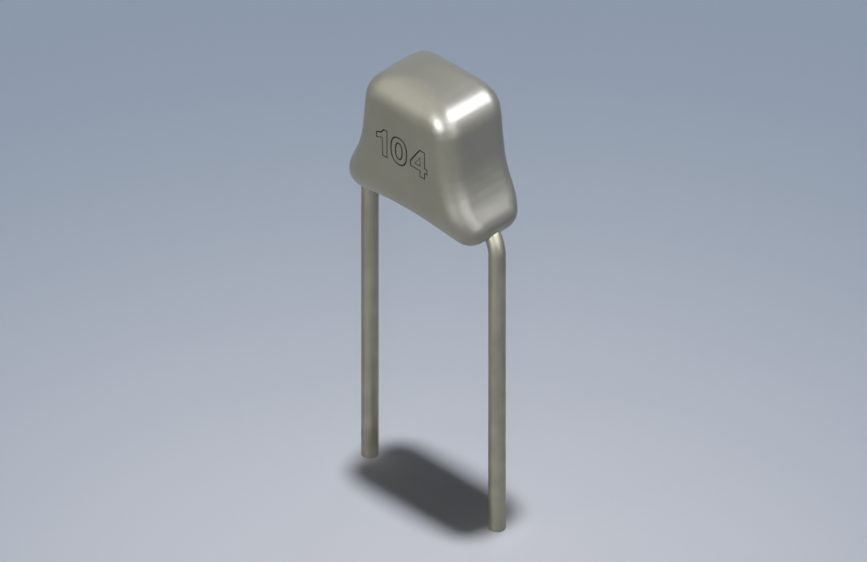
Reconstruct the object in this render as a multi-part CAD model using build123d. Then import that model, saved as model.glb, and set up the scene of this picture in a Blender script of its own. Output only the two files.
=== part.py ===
"""Radial multilayer ceramic capacitor: a ceramic chip with soldered leads in a dipped epoxy coat.

Millimetres, +Z up. The origin lies midway between the two lead tips, X runs across the leads
and the flat front of the coat faces -Y.
"""
from build123d import *
from math import acos, asin, atan2, cos, hypot, radians, sin, tan
import os

# Leads: round tinned wire, kinked inwards so that the two grip the chip
LEAD_PITCH = 5.08
LEAD_DIAMETER = 0.50
LEAD_STRAIGHT = 9.40
LEAD_BEND_RADIUS = 1.14
LEAD_LEAN = 45.0
LEAD_OVERRUN = 0.08

# Ceramic block of the chip, standing with its length across the leads
CERAMIC_LENGTH = 1.88
CERAMIC_HEIGHT = 1.13
CERAMIC_THICKNESS = 0.85
CHIP_RISE = 0.22

# End caps of the chip, from the inside outwards
COPPER_THICKNESS = 0.03
NICKEL_THICKNESS = 0.015
TIN_THICKNESS = 0.015
CAP_BAND = 0.40

# Electrodes inside the ceramic
ELECTRODE_COUNT = 10
ELECTRODE_THICKNESS = 0.02
ELECTRODE_COVER = 0.14
ELECTRODE_SIDE_MARGIN = 0.15
ELECTRODE_END_MARGIN = 0.22

# Solder joint between a wire and its end cap, seen from above; its fillet takes at most a share of each wall
SOLDER_GAP = 0.02
SOLDER_SKIN = 0.06
SOLDER_FOOT = 0.05
SOLDER_FOOT_MARGIN = 0.06
SOLDER_FILLET = 0.14
FILLET_SHARE = 0.9

# Coat: walls over the chip and its wires, and the rolls of its long edges
COAT_WALL_FRONT = 0.785
COAT_WALL_SIDE = 0.277
COAT_WALL_TOP = 0.44
COAT_WALL_BOTTOM = 0.83
TOP_ROLL_RADIUS = 0.97
BOTTOM_ROLL_RADIUS = 1.70
EDGE_RADIUS = 0.62

# Coat: outline seen from the front
SIDE_TILT = 6.0
HIP_RADIUS = 1.008
CROWN_RADIUS = 3.37
CROWN_DROP = 0.005
WAIST_RISE = 0.635
FLARE_RADIUS = 3.2
TOE_OVERHANG = 0.065
TOE_DROP = 1.155
ARCH_RADIUS = 6.2
ARCH_DROP = 0.64

# Places that follow from the sizes above
CAP_THICKNESS = COPPER_THICKNESS + NICKEL_THICKNESS + TIN_THICKNESS
CHIP_LENGTH = CERAMIC_LENGTH + 2 * CAP_THICKNESS
CHIP_HEIGHT = CERAMIC_HEIGHT + 2 * CAP_THICKNESS
CHIP_THICKNESS = CERAMIC_THICKNESS + 2 * CAP_THICKNESS
WIRE_X = (CHIP_LENGTH + LEAD_DIAMETER) / 2 + SOLDER_GAP
LEAD_SHIFT = LEAD_PITCH / 2 - WIRE_X
BEND_SHIFT = LEAD_BEND_RADIUS * (1 - cos(radians(LEAD_LEAN)))
LEAN_LENGTH = (LEAD_SHIFT - 2 * BEND_SHIFT) / sin(radians(LEAD_LEAN))
KINK_TOP = (
    LEAD_STRAIGHT
    + 2 * LEAD_BEND_RADIUS * sin(radians(LEAD_LEAN))
    + LEAN_LENGTH * cos(radians(LEAD_LEAN))
)
CHIP_BOTTOM = KINK_TOP + CHIP_RISE
CHIP_CENTRE = CHIP_BOTTOM + CHIP_HEIGHT / 2
CHIP_TOP = CHIP_BOTTOM + CHIP_HEIGHT
COAT_DEPTH = CHIP_THICKNESS + 2 * COAT_WALL_FRONT
FACE_TOP = CHIP_TOP + COAT_WALL_TOP
FACE_BOTTOM = CHIP_BOTTOM - COAT_WALL_BOTTOM
CROWN_TOP = FACE_TOP + TOP_ROLL_RADIUS - CROWN_DROP


def lead(side):
    """One wire: straight leg, two opposite bends, and the end that runs up the chip."""
    top = CHIP_TOP + LEAD_OVERRUN
    with BuildLine(Plane.XZ) as path:
        leg = Line((side * LEAD_PITCH / 2, 0), (side * LEAD_PITCH / 2, LEAD_STRAIGHT))
        inward = JernArc(leg @ 1, leg % 1, LEAD_BEND_RADIUS, side * LEAD_LEAN)
        lean = Line(inward @ 1, inward @ 1 + (inward % 1) * LEAN_LENGTH)
        upright = JernArc(lean @ 1, lean % 1, LEAD_BEND_RADIUS, -side * LEAD_LEAN)
        Line(upright @ 1, upright @ 1 + Vector(0, 0, top - KINK_TOP))
    section = Plane(origin=path.line @ 0, z_dir=path.line % 0) * Circle(LEAD_DIAMETER / 2)
    return sweep(section, path=path.line)


def chip_box(growth):
    """The ceramic block's outer box, grown evenly by the layers plated on it."""
    size = Box(CERAMIC_LENGTH + 2 * growth, CERAMIC_THICKNESS + 2 * growth, CERAMIC_HEIGHT + 2 * growth)
    return Pos(0, 0, CHIP_CENTRE) * size


def electrode_place(index):
    """Y of one electrode's middle, and the side whose end cap it joins."""
    span = CERAMIC_THICKNESS - 2 * ELECTRODE_COVER - ELECTRODE_THICKNESS
    y = -span / 2 + span * index / (ELECTRODE_COUNT - 1)
    side = -1 if index % 2 == 0 else 1
    return y, side


def electrode(index):
    """One nickel plate, flush with the end of the ceramic on the side that it joins."""
    y, side = electrode_place(index)
    length = CERAMIC_LENGTH - ELECTRODE_END_MARGIN
    height = CERAMIC_HEIGHT - 2 * ELECTRODE_SIDE_MARGIN
    x = side * ELECTRODE_END_MARGIN / 2
    return Pos(x, y, CHIP_CENTRE) * Box(length, ELECTRODE_THICKNESS, height)


def end_cap(side, inner_growth, thickness):
    """One five-sided cap layer over an end of the chip."""
    shell = chip_box(inner_growth + thickness) - chip_box(inner_growth)
    band = CAP_BAND + inner_growth + thickness
    reach = CERAMIC_LENGTH / 2 + inner_growth + thickness
    keep = Pos(side * (reach - band / 2), 0, CHIP_CENTRE) * Box(band, 2 * CHIP_THICKNESS, 2 * CHIP_HEIGHT)
    return shell & keep


def solder_joint(side, wire):
    """Solder that wets the end cap and all round the wire, with a hollow fillet on each side."""
    wall = side * CHIP_LENGTH / 2
    foot_width = CHIP_THICKNESS - 2 * SOLDER_FOOT_MARGIN
    ledge = (foot_width - LEAD_DIAMETER) / 2
    neck = LEAD_DIAMETER / 2 + SOLDER_GAP
    hollow_radius = min(SOLDER_FILLET, FILLET_SHARE * ledge, FILLET_SHARE * (neck - SOLDER_FOOT))
    with BuildSketch(Plane.XY.offset(CHIP_BOTTOM + SOLDER_FOOT_MARGIN)) as section:
        with Locations((wall + side * SOLDER_FOOT / 2, 0)):
            Rectangle(SOLDER_FOOT, foot_width)
        with Locations((wall + side * neck / 2, 0)):
            Rectangle(neck, LEAD_DIAMETER)
        shoulders = section.vertices().group_by(Axis.X)[1]
        fillet(shoulders.sort_by(Axis.Y)[1:3], hollow_radius)
        with Locations((side * WIRE_X, 0)):
            Circle(LEAD_DIAMETER / 2 + SOLDER_SKIN)
    joint = extrude(section.sketch, amount=CHIP_HEIGHT - 2 * SOLDER_FOOT_MARGIN)
    return joint - wire - chip_box(CAP_THICKNESS)


def coat_outline():
    """Front outline of the coat with square toes: crown, hips, straight sides and flared feet."""
    tilt = radians(SIDE_TILT)
    hip_half = WIRE_X + LEAD_DIAMETER / 2 + COAT_WALL_SIDE
    waist_z = FACE_BOTTOM + WAIST_RISE
    waist = (hip_half + (FACE_TOP - waist_z) * tan(tilt), waist_z)
    sole = FACE_BOTTOM - TOE_DROP
    toe = (LEAD_PITCH / 2 + TOE_OVERHANG - EDGE_RADIUS, sole + EDGE_RADIUS)
    run, drop = toe[0] - waist[0], waist[1] - toe[1]
    flare = atan2(run, drop) + asin(EDGE_RADIUS / hypot(run, drop))
    foot = (toe[0] + EDGE_RADIUS / tan((radians(90) - flare) / 2), sole)
    crown_z = CROWN_TOP - CROWN_RADIUS
    side_reach = (hip_half - (crown_z - FACE_TOP) * tan(tilt)) * cos(tilt)
    swing = tilt + acos(side_reach / CROWN_RADIUS)
    shoulder = (CROWN_RADIUS * cos(swing), crown_z + CROWN_RADIUS * sin(swing))
    with BuildSketch(Plane.XZ) as outline:
        with BuildLine():
            Polyline(shoulder, waist, foot)
            mirror(about=Plane.YZ)
            ThreePointArc((-shoulder[0], shoulder[1]), (0, CROWN_TOP), shoulder)
            Line((-foot[0], foot[1]), foot)
        make_face()
        fillet(outline.vertices().group_by(Axis.Y)[1], FLARE_RADIUS)
        fillet(outline.vertices().group_by(Axis.Y)[-1], HIP_RADIUS)
    return outline.sketch


def coat_side():
    """Side profile of the coat: two flat faces, rolled in at the top and more slowly at the bottom."""
    face = COAT_DEPTH / 2
    top = FACE_TOP + TOP_ROLL_RADIUS
    roll_y = face - BOTTOM_ROLL_RADIUS
    keel = FACE_BOTTOM - (BOTTOM_ROLL_RADIUS**2 - roll_y**2) ** 0.5
    with BuildSketch(Plane.YZ) as profile:
        with BuildLine():
            brow = Line((0, top), (face - TOP_ROLL_RADIUS, top))
            roll = JernArc(brow @ 1, brow % 1, TOP_ROLL_RADIUS, -90)
            flat = Line(roll @ 1, (face, FACE_BOTTOM))
            RadiusArc(flat @ 1, (0, keel), BOTTOM_ROLL_RADIUS)
            mirror(about=Plane.YZ)
        make_face()
    return profile.sketch


def coat_body():
    """The coat as a full solid: a core grown by the edge radius, which rounds every long edge."""
    outline = offset(coat_outline(), amount=-EDGE_RADIUS)
    profile = offset(coat_side(), amount=-EDGE_RADIUS)
    core = extrude(outline, COAT_DEPTH, both=True) & extrude(profile, LEAD_PITCH, both=True)
    body = offset(core, amount=EDGE_RADIUS, kind=Kind.ARC)
    arch_top = FACE_BOTTOM - ARCH_DROP
    arch = Plane.XZ * Pos(0, arch_top - ARCH_RADIUS) * Circle(ARCH_RADIUS)
    return body - extrude(arch, COAT_DEPTH, both=True)


leads = {"left": lead(-1), "right": lead(1)}
sides = {"left": -1, "right": 1}
nodes = {}
for name, side in sides.items():
    nodes["lead_" + name] = leads[name]
    nodes["copper_cap_" + name] = end_cap(side, 0, COPPER_THICKNESS)
    nodes["nickel_barrier_" + name] = end_cap(side, COPPER_THICKNESS, NICKEL_THICKNESS)
    nodes["tin_plating_" + name] = end_cap(side, COPPER_THICKNESS + NICKEL_THICKNESS, TIN_THICKNESS)
    nodes["solder_" + name] = solder_joint(side, leads[name])
ceramic = chip_box(0)
for index in range(ELECTRODE_COUNT):
    plate = electrode(index)
    nodes["electrode_" + str(index + 1)] = plate
    ceramic = ceramic - plate
nodes["ceramic_block"] = ceramic
coat = coat_body()
for piece in list(nodes.values()):
    coat = coat - piece
nodes["epoxy_coating"] = coat

os.makedirs("parts", exist_ok=True)
for name, piece in nodes.items():
    print(name, len(piece.solids()), piece.volume)
    export_step(piece, "parts/" + name + ".step")
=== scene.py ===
"""A dipped ceramic capacitor on a pale floor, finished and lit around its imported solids.

Metres, +Z up. The lead tips touch the floor at z = 0 and the flat front of the coat faces -Y.
Pieces are modelled in millimetres at the origin's place and then brought down to metres.
"""
import math

import bmesh
import bpy
from mathutils import Matrix, Vector
from mathutils.bvhtree import BVHTree


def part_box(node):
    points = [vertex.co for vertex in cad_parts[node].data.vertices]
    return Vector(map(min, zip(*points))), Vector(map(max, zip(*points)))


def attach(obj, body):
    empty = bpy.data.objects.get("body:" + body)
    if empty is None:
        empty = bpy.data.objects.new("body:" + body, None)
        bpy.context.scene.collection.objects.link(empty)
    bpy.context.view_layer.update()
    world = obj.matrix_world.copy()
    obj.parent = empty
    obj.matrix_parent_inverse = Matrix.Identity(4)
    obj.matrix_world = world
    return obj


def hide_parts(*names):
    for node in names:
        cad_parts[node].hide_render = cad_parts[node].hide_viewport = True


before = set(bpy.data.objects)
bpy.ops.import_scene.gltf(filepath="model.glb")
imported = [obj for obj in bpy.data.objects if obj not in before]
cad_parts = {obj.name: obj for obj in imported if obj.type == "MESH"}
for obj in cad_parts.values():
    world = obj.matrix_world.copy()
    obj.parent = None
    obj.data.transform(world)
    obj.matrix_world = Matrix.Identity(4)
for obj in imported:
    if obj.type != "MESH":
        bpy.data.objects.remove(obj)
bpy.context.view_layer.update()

# Epoxy coat. The soldered chip is dipped in liquid epoxy, which draws down over the wires and
# cures into one seamless skin: flat front and back, a rolled crown, and two toes at the wires.
MILLIMETRE = 0.001
coat_name = "epoxy_coating"
seam_gap = 0.0004
cavity_reach = 0.008
skin_voxel = 0.045
skin_smoothing = 9
skin_colour = (0.200, 0.192, 0.156, 1)
skin_pale = (0.217, 0.209, 0.171, 1)
skin_deep = (0.183, 0.175, 0.141, 1)
skin_roughness = 0.42
cloud_size, grain_size, peel_size = 0.0011, 0.00006, 0.0005
peel_depth = 0.0000016


def take(piece):
    """Selects one piece alone and makes it the active one."""
    bpy.ops.object.select_all(action="DESELECT")
    piece.select_set(True)
    bpy.context.view_layer.objects.active = piece


def copy_of_node(node, name):
    """A new piece with a copy of a node's mesh, merged and brought up to millimetres."""
    piece = bpy.data.objects.new(name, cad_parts[node].data.copy())
    bpy.context.collection.objects.link(piece)
    piece.data.materials.clear()
    piece.data.transform(Matrix.Scale(1 / MILLIMETRE, 4))
    take(piece)
    bpy.ops.mesh.customdata_custom_splitnormals_clear()
    bpy.ops.object.mode_set(mode="EDIT")
    bpy.ops.mesh.select_all(action="SELECT")
    bpy.ops.mesh.remove_doubles(threshold=seam_gap)
    bpy.ops.mesh.select_all(action="DESELECT")
    bpy.ops.object.mode_set(mode="OBJECT")
    return piece


def apply_modifier(piece, kind, **settings):
    """Adds one modifier to a piece and applies it."""
    take(piece)
    modifier = piece.modifiers.new(kind.title(), kind)
    for key, value in settings.items():
        setattr(modifier, key, value)
    bpy.ops.object.modifier_apply(modifier=modifier.name)


def to_metres(piece):
    """Brings a piece that was modelled in millimetres down to its real place."""
    piece.data.transform(Matrix.Scale(MILLIMETRE, 4))
    piece.data.update()


def inner_surface():
    """Surfaces of all that the coat encloses, in millimetres."""
    inside = bmesh.new()
    for name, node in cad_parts.items():
        if name != coat_name:
            inside.from_mesh(node.data)
    bmesh.ops.scale(inside, vec=Vector((1, 1, 1)) / MILLIMETRE, verts=inside.verts)
    tree = BVHTree.FromBMesh(inside)
    inside.free()
    return tree


# The faces that line the coat's cavity go, and the mouths where the wires come out are closed,
# which leaves the skin alone. It is then divided evenly and smoothed, as the liquid epoxy would be.
coat = copy_of_node(coat_name, "coat_skin")
enclosed = inner_surface()
for face in coat.data.polygons:
    face.select = enclosed.find_nearest(face.center)[3] < cavity_reach
bpy.ops.object.mode_set(mode="EDIT")
bpy.ops.mesh.select_mode(type="FACE")
bpy.ops.mesh.delete(type="FACE")
bpy.ops.mesh.select_all(action="SELECT")
bpy.ops.mesh.fill_holes(sides=0)
bpy.ops.object.mode_set(mode="OBJECT")
for face in coat.data.polygons:
    face.select = len(face.vertices) > 4
bpy.ops.object.mode_set(mode="EDIT")
bpy.ops.mesh.poke()
bpy.ops.mesh.select_all(action="SELECT")
bpy.ops.mesh.normals_make_consistent(inside=False)
bpy.ops.object.mode_set(mode="OBJECT")
coat.data.remesh_voxel_size = skin_voxel
bpy.ops.object.voxel_remesh()
apply_modifier(coat, "SMOOTH", factor=0.5, iterations=skin_smoothing)
bpy.ops.object.shade_smooth()
to_metres(coat)


class Flow:
    """A number that flows through a finish. Arithmetic on it adds Math nodes."""

    def __init__(self, finish, socket):
        self.finish = finish
        self.socket = socket

    def maths(self, operation, *values):
        """Adds one Math node that works on these values."""
        return self.finish.node("ShaderNodeMath", {"operation": operation}, dict(enumerate(values)))

    def __add__(self, other):
        return self.maths("ADD", self, other)

    def __lt__(self, other):
        return self.maths("LESS_THAN", self, other)

    def __sub__(self, other):
        return self.maths("SUBTRACT", self, other)

    def __rsub__(self, other):
        return self.maths("SUBTRACT", other, self)

    def __mul__(self, other):
        return self.maths("MULTIPLY", self, other)

    __radd__ = __add__
    __rmul__ = __mul__


class Nodes:
    """The node tree of a material or of the world, and the one way that nodes are added to it."""

    def __init__(self, tree):
        self.tree = tree

    def node(self, kind, settings=None, inputs=None, output=0):
        """Adds a node with its settings first, then the values or links of its sockets."""
        made = self.tree.nodes.new(kind)
        for key, value in (settings or {}).items():
            if key == "stops":
                made.color_ramp.interpolation = "EASE"
                for spot, (position, colour) in zip(made.color_ramp.elements, value):
                    spot.position = position
                    spot.color = colour
            else:
                setattr(made, key, value)
        for key, value in (inputs or {}).items():
            self.feed(made.inputs[key], value)
        return Flow(self, made.outputs[output])

    def feed(self, socket, value):
        """Links a flow to a socket, or sets a plain value on it."""
        if isinstance(value, Flow):
            self.tree.links.new(value.socket, socket)
        else:
            socket.default_value = value

    def seen_directly(self):
        """1 for a ray from the camera, off a glossy surface or through glass, and 0 for spread light."""
        camera_ray = self.node("ShaderNodeLightPath", output="Is Camera Ray")
        kinds = camera_ray.socket.node.outputs
        return camera_ray + Flow(self, kinds["Is Glossy Ray"]) + Flow(self, kinds["Is Transmission Ray"])


class Finish(Nodes):
    """One material: a Principled surface and the nodes that feed it."""

    def __init__(self, name, constants):
        self.material = bpy.data.materials.new(name)
        self.material.use_nodes = True
        super().__init__(self.material.node_tree)
        self.surface = self.tree.nodes["Principled BSDF"]
        for key, value in constants.items():
            self.surface.inputs[key].default_value = value
        self.place = self.node("ShaderNodeTexCoord", output="Object")

    def noise(self, size, detail=2.0, place=None):
        """Smooth noise from 0 to 1 whose blotches are about size metres across."""
        inputs = {"Vector": place or self.place, "Scale": 1 / size, "Detail": detail}
        return self.node("ShaderNodeTexNoise", inputs=inputs, output="Fac")

    def ramp(self, value, *stops):
        """Turns a number into a colour between stops of position and colour."""
        return self.node("ShaderNodeValToRGB", {"stops": stops}, {"Fac": value}, "Color")

    def blend(self, share, first, second):
        """Mixes two colours. On this node, sockets 6 and 7 take them and output 2 gives the mixture."""
        inputs = {"Factor": share, 6: first, 7: second}
        return self.node("ShaderNodeMix", {"data_type": "RGBA"}, inputs, 2)

    def bump(self, height, depth):
        """Feeds the surface's normal with a relief of the given depth in metres."""
        relief = self.node("ShaderNodeBump", inputs={"Height": height, "Strength": 1.0, "Distance": depth})
        self.feed(self.surface.inputs["Normal"], relief)


epoxy = Finish("cured_epoxy", {"IOR": 1.55, "Coat Weight": 0.75, "Coat Roughness": 0.33})
cloud = epoxy.noise(cloud_size, 3.0)
grain = epoxy.noise(grain_size, 2.0)
peel = epoxy.noise(peel_size, 1.0)
tone = epoxy.ramp(cloud * 0.7 + grain * 0.3, (0.34, skin_deep), (0.66, skin_pale))
epoxy.feed(epoxy.surface.inputs["Base Color"], epoxy.blend(0.5, skin_colour, tone))
epoxy.feed(epoxy.surface.inputs["Roughness"], skin_roughness - 0.03 + cloud * 0.04 + grain * 0.02)
epoxy.bump(peel, peel_depth)
coat.data.materials.append(epoxy.material)
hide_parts(coat_name)
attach(coat, "root")

# Leads. Round copper-clad steel wire, drawn and tinned, kinked inwards under the coat so that
# the two wires grip the chip while it is soldered. The tips are cut square.
leg_top = 9.4
bend_radius = 1.14
lean = math.radians(45)
wire_sides = 56
bend_steps = 14
tip_chamfer = 0.012
sharp_edge = math.radians(30)
wire_dull = (0.206, 0.195, 0.153, 1)
wire_bright = (0.246, 0.234, 0.187, 1)
streak_size, streak_shrink, dull_spot_size = 0.00005, 0.03, 0.0006
streak_depth = 0.0000005


def pull(x, z):
    """Extrudes the selected end face along a straight step in X and Z."""
    bpy.ops.mesh.extrude_region_move(TRANSFORM_OT_translate={"value": (x, 0, z)})


def turn(angle, x, z):
    """Spins the selected end face round a bend whose centre lies at X and Z."""
    bpy.ops.mesh.spin(steps=bend_steps, angle=angle, center=(x, 0, z), axis=(0, 1, 0))


def wire_piece(node, side):
    """One lead: its tip pulled up the leg, spun round both bends and pulled up the chip."""
    low, high = (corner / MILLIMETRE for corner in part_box(node))
    radius = (high.y - low.y) / 2
    leg_x = side * (max(abs(low.x), abs(high.x)) - radius)
    top_x = side * (min(abs(low.x), abs(high.x)) + radius)
    bend_rise = bend_radius * math.sin(lean)
    bend_shift = bend_radius * (1 - math.cos(lean))
    lean_run = (abs(leg_x - top_x) - 2 * bend_shift) / math.sin(lean)
    kink_top = leg_top + 2 * bend_rise + lean_run * math.cos(lean)
    bpy.ops.object.select_all(action="DESELECT")
    bpy.ops.mesh.primitive_circle_add(vertices=wire_sides, radius=radius, fill_type="NGON")
    piece = bpy.context.object
    piece.name = node.replace("lead", "wire")
    piece.data.transform(Matrix.Translation((leg_x, 0, low.z)))
    bpy.ops.object.mode_set(mode="EDIT")
    bpy.ops.mesh.select_mode(type="FACE")
    bpy.ops.mesh.select_all(action="SELECT")
    pull(0, leg_top - low.z)
    turn(side * lean, leg_x - side * bend_radius, leg_top)
    pull(-side * lean_run * math.sin(lean), lean_run * math.cos(lean))
    turn(-side * lean, top_x + side * bend_radius, kink_top)
    pull(0, high.z - kink_top)
    bpy.ops.mesh.select_all(action="SELECT")
    bpy.ops.mesh.normals_make_consistent(inside=False)
    bpy.ops.object.mode_set(mode="OBJECT")
    for edge in piece.data.edges:
        edge.select = all(piece.data.vertices[end].co.z < low.z + tip_chamfer for end in edge.vertices)
    bpy.ops.object.mode_set(mode="EDIT")
    bpy.ops.mesh.select_mode(type="EDGE")
    bpy.ops.mesh.bevel(offset=tip_chamfer, segments=1)
    bpy.ops.object.mode_set(mode="OBJECT")
    bpy.ops.object.shade_smooth_by_angle(angle=sharp_edge)
    to_metres(piece)
    return piece


tinned = Finish("tinned_wire", {"Metallic": 0.8})
drawn = tinned.node("ShaderNodeMapping", inputs={"Vector": tinned.place, "Scale": (1, 1, streak_shrink)})
streaks = tinned.noise(streak_size, 2.0, drawn)
dull_spots = tinned.noise(dull_spot_size, 3.0)
tinned.feed(
    tinned.surface.inputs["Base Color"],
    tinned.ramp(streaks * 0.5 + dull_spots * 0.5, (0.35, wire_dull), (0.65, wire_bright)),
)
tinned.feed(tinned.surface.inputs["Roughness"], 0.39 + dull_spots * 0.08)
tinned.bump(streaks, streak_depth)
for node, side in (("lead_left", -1), ("lead_right", 1)):
    wire = wire_piece(node, side)
    wire.data.materials.append(tinned.material)
    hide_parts(node)
    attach(wire, "root")

# Value marking. A generic three-figure value, printed on the front in thin dark outlines with
# marking ink that stands a few thousandths of a millimetre proud of the epoxy.
digit_height = 0.90
digit_gap = 0.16
marking_middle = (0.0, 12.325)
line_width = 0.048
ink_height = 0.005
one_width, zero_width, four_width = 0.42, 0.62, 0.66
stroke = 0.18
flag_tip, flag_top, flag_foot, flag_lean = 0.77, 0.70, 0.61, 0.05
bar_low, bar_height, bar_overhang = 0.20, 0.162, 0.10
slope_start, slope_end = 0.02, 0.01
window_width, window_height = 0.20, 0.29
ink_dark = (0.004, 0.004, 0.0035, 1)
ink_worn = (0.009, 0.009, 0.008, 1)
ink_blotch_size = 0.00012


def drawn_loop(curve, start, points):
    """Adds one closed line through points, shifted along the row to where its figure starts."""
    line = curve.splines.new("POLY")
    line.points.add(len(points) - 1)
    for spot, (x, y) in zip(line.points, points):
        spot.co = (start + x, y, 0, 1)
    line.use_cyclic_u = True


def oval(width, height, steps=64, squareness=2.4):
    """Points of an oval with slightly squared shoulders, round the middle of the zero."""
    points = []
    for step in range(steps):
        across, up = math.cos(math.tau * step / steps), math.sin(math.tau * step / steps)
        x = math.copysign(abs(across) ** (2 / squareness), across) * width / 2
        y = math.copysign(abs(up) ** (2 / squareness), up) * height / 2
        points.append((zero_width / 2 + x, digit_height / 2 + y))
    return points


outline = bpy.data.curves.new("value_marking", "CURVE")
outline.dimensions = "3D"
marking = bpy.data.objects.new("value_marking", outline)
bpy.context.collection.objects.link(marking)
one_start = -(one_width + zero_width + four_width + 2 * digit_gap) / 2
stem = one_width - stroke
drawn_loop(outline, one_start, [
    (stem, 0), (one_width, 0), (one_width, digit_height), (stem + flag_lean, digit_height),
    (stem - flag_lean, flag_tip), (0, flag_top), (0, flag_top - stroke), (stem, flag_foot),
])
zero_start = one_start + one_width + digit_gap
drawn_loop(outline, zero_start, oval(zero_width, digit_height))
drawn_loop(outline, zero_start, oval(zero_width - 2 * stroke, digit_height - 2 * stroke))
four_start = zero_start + zero_width + digit_gap
bar_high = bar_low + bar_height
post = four_width - bar_overhang - stroke
drawn_loop(outline, four_start, [
    (post, 0), (post + stroke, 0), (post + stroke, bar_low), (four_width, bar_low), (four_width, bar_high),
    (post + stroke, bar_high), (post + stroke, digit_height), (post - slope_start, digit_height),
    (0, bar_high + slope_end), (0, bar_low), (post, bar_low),
])
drawn_loop(outline, four_start, [
    (post, bar_high), (post, bar_high + window_height), (post - window_width, bar_high),
])
outline.bevel_depth = line_width / 2
outline.bevel_resolution = 2
take(marking)
bpy.ops.object.convert(target="MESH")
front_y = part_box(coat_name)[0].y / MILLIMETRE
marking.data.transform(Matrix.Translation((0, -digit_height / 2, 0)))
marking.data.transform(Matrix.Diagonal((1, 1, 2 * ink_height / line_width, 1)))
marking.data.transform(Matrix.Rotation(math.radians(90), 4, "X"))
marking.data.transform(Matrix.Translation((marking_middle[0], front_y, marking_middle[1])))
bpy.ops.object.shade_smooth()
to_metres(marking)
ink = Finish("marking_ink", {"Specular IOR Level": 0.15})
ink_cloud = ink.noise(ink_blotch_size, 3.0)
ink.feed(ink.surface.inputs["Base Color"], ink.ramp(ink_cloud, (0.3, ink_dark), (0.7, ink_worn)))
ink.feed(ink.surface.inputs["Roughness"], 0.5 + ink_cloud * 0.16)
marking.data.materials.append(ink.material)
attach(marking, "root")

# Chip and joints. Hidden inside the coat: a sintered ceramic block with nickel plates, end caps
# of fired copper plated with nickel and tin, and the solder that holds each wire to its cap.
ceramic_dark = (0.26, 0.19, 0.13, 1)
ceramic_pale = (0.35, 0.26, 0.18, 1)
crystal_size, crystal_depth = 0.00004, 0.000002
patch_size, patch_depth = 0.00015, 0.000001


def plated_metal(name, dark, bright, roughness):
    """A fine-grained metal layer, slightly uneven in tone and roughness."""
    finish = Finish(name, {"Metallic": 1.0})
    patches = finish.noise(patch_size, 4.0)
    finish.feed(finish.surface.inputs["Base Color"], finish.ramp(patches, (0.3, dark), (0.7, bright)))
    finish.feed(finish.surface.inputs["Roughness"], roughness + patches * 0.1)
    finish.bump(patches, patch_depth)
    return finish.material


dielectric = Finish("sintered_ceramic", {"IOR": 1.6})
crystals = dielectric.noise(crystal_size, 5.0)
dielectric.feed(
    dielectric.surface.inputs["Base Color"],
    dielectric.ramp(crystals, (0.35, ceramic_dark), (0.65, ceramic_pale)),
)
dielectric.feed(dielectric.surface.inputs["Roughness"], 0.55 + crystals * 0.15)
dielectric.bump(crystals, crystal_depth)
inner_finishes = {
    "ceramic_block": dielectric.material,
    "electrode": plated_metal("electrode_nickel", (0.29, 0.27, 0.24, 1), (0.37, 0.35, 0.31, 1), 0.42),
    "copper_cap": plated_metal("fired_copper", (0.48, 0.20, 0.11, 1), (0.62, 0.29, 0.16, 1), 0.38),
    "nickel_barrier": plated_metal("nickel_plating", (0.38, 0.36, 0.32, 1), (0.46, 0.44, 0.40, 1), 0.30),
    "tin_plating": plated_metal("tin_plating", (0.47, 0.47, 0.46, 1), (0.55, 0.55, 0.54, 1), 0.40),
    "solder": plated_metal("solder", (0.42, 0.42, 0.41, 1), (0.50, 0.50, 0.49, 1), 0.28),
}
for name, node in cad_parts.items():
    for family, material in inner_finishes.items():
        if name.startswith(family):
            node.data.materials.clear()
            node.data.materials.append(material)

# Floor and surroundings. A wide pale sheet under the lead tips. Its colour carries a painted pool of
# light, palest around the part and darkening into the colour of the room, so that no horizon shows. It is
# clear from below, and for rays that leave the lead tips, which stand on it.
floor_size = 6.0
# Painted pool of light on the floor: its middle, its reach, and its painted lit and dim colours.
painted_light_middle = (0.0056, -0.0056, 0.0)
painted_light_reach = 0.034
floor_painted_lit = (0.463, 0.476, 0.530, 1)
floor_painted_dim = (0.226, 0.273, 0.346, 1)
floor_bounce = (0.10, 0.10, 0.10, 1)
mottle_size, mottle = 0.02, 0.04
contact_reach = 0.0001
room_colour = (0.262, 0.316, 0.400, 1)
room_light = 0.09

bpy.ops.object.select_all(action="DESELECT")
bpy.ops.mesh.primitive_plane_add(size=floor_size)
floor = bpy.context.object
floor.name = "floor"
sheet = Finish("floor_sheet", {"Roughness": 1.0, "Specular IOR Level": 0.0})
# Painted pool of light: the floor's colour is palest near the part and darker with distance from it.
ends = {0: sheet.place, 1: painted_light_middle}
distance = sheet.node("ShaderNodeVectorMath", {"operation": "DISTANCE"}, ends, "Value")
painted_light_fall_off = distance * (1 / painted_light_reach) + sheet.noise(mottle_size, 2.0) * mottle - mottle / 2
painted_light_pool = sheet.ramp(painted_light_fall_off, (0, floor_painted_lit), (1, floor_painted_dim))
sheet.feed(sheet.surface.inputs["Base Color"], sheet.blend(sheet.seen_directly(), floor_bounce, painted_light_pool))
from_below = sheet.node("ShaderNodeNewGeometry", output="Backfacing")
from_a_tip = sheet.node("ShaderNodeLightPath", output="Ray Length") < contact_reach
clear = sheet.node("ShaderNodeBsdfTransparent", output="BSDF")
top_side = Flow(sheet, sheet.surface.outputs["BSDF"])
sides = {0: from_below + from_a_tip, 1: top_side, 2: clear}
either_side = sheet.node("ShaderNodeMixShader", inputs=sides, output="Shader")
sheet.feed(sheet.tree.nodes["Material Output"].inputs["Surface"], either_side)
floor.data.materials.append(sheet.material)

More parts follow.
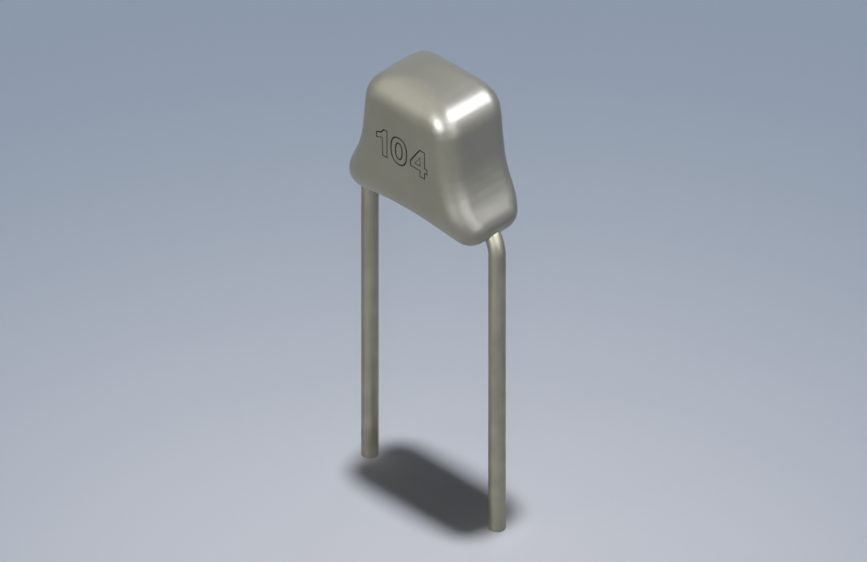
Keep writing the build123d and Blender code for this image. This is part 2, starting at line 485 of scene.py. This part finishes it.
world = bpy.data.worlds.new("studio")
bpy.context.scene.world = world
world.use_nodes = True
room = Nodes(world.node_tree)
spread_light, backdrop = (
    room.node("ShaderNodeBackground", inputs={"Color": room_colour, "Strength": strength})
    for strength in (room_light, 1.0)
)
shares = {0: room.seen_directly(), 1: spread_light, 2: backdrop}
walls = room.node("ShaderNodeMixShader", inputs=shares, output="Shader")
room.feed(room.tree.nodes["World Output"].inputs["Surface"], walls)

# Lamps. Far round softboxes. One overhead throws the shadow straight under the part, and three low
# ones light its front right edge, its front, warmly, and its back. The glows light nothing: they
# show only as highlights on the glossy coat and the wires.


def softbox(name, azimuth, elevation, spread, strength, tint, lights=True, glints=True):
    """A far lamp that looks spread degrees wide; azimuth 0 lies in front and 90 on the right."""
    lamp_data = bpy.data.lights.new(name, "SUN")
    lamp_data.angle = math.radians(spread)
    lamp_data.energy = strength
    lamp_data.color = tint
    lamp = bpy.data.objects.new(name, lamp_data)
    lamp.rotation_euler = (math.radians(90 - elevation), 0, math.radians(azimuth))
    lamp.visible_diffuse = lights
    lamp.visible_glossy = glints
    bpy.context.collection.objects.link(lamp)


softbox("overhead_lamp", 0, 90, 5, 3.3, (1.0, 1.0, 1.0), glints=False)
softbox("key_lamp", 45, 5, 12, 1.4, (0.99, 0.99, 1.0), glints=False)
softbox("front_lamp", -20, 5, 12, 0.82, (1.0, 0.99, 0.50), glints=False)
softbox("back_lamp", 205, 5, 12, 0.8, (1.0, 1.0, 1.0), glints=False)
softbox("top_glow", 205, 66, 56, 0.4, (1.0, 1.0, 1.0), lights=False)
softbox("crown_glow", -58, 60, 50, 0.5, (1.0, 1.0, 0.97), lights=False)
softbox("front_glow", -42, 24, 56, 0.72, (1.0, 0.99, 0.80), lights=False)
softbox("edge_glow", 80, 12, 56, 3.0, (1.0, 1.0, 1.0), lights=False)
softbox("high_glow", 45, 48, 30, 0.4, (1.0, 1.0, 1.0), lights=False)
softbox("corner_glow", 7, 19, 46, 7.6, (1.0, 1.0, 1.0), lights=False)
softbox("side_glow", 84, 50, 26, 2.8, (1.0, 1.0, 1.0), lights=False)
softbox("middle_glow", 115, 53, 30, 3.5, (1.0, 1.0, 1.0), lights=False)
softbox("hip_glow", 138, 38, 29, 4.0, (1.0, 1.0, 1.0), lights=False)

# Camera. Looks down on the front right edge of the part, at the same angle to all three axes, and
# with no perspective, so that the two wires stay parallel and equally thick.
view_direction = Vector((1, -1, 1)).normalized()
view_target = Vector((0, 0, 0.00726))
view_width = 0.02451
view_distance = 0.3

camera_data = bpy.data.cameras.new("camera")
camera_data.type = "ORTHO"
camera_data.ortho_scale = view_width
camera_data.clip_start = 0.01
camera_data.clip_end = 5
camera = bpy.data.objects.new("camera", camera_data)
camera.location = view_target + view_direction * view_distance
camera.rotation_euler = (-view_direction).to_track_quat("-Z", "Y").to_euler()
bpy.context.collection.objects.link(camera)
bpy.context.scene.camera = camera
bpy.context.scene.view_settings.view_transform = "Standard"
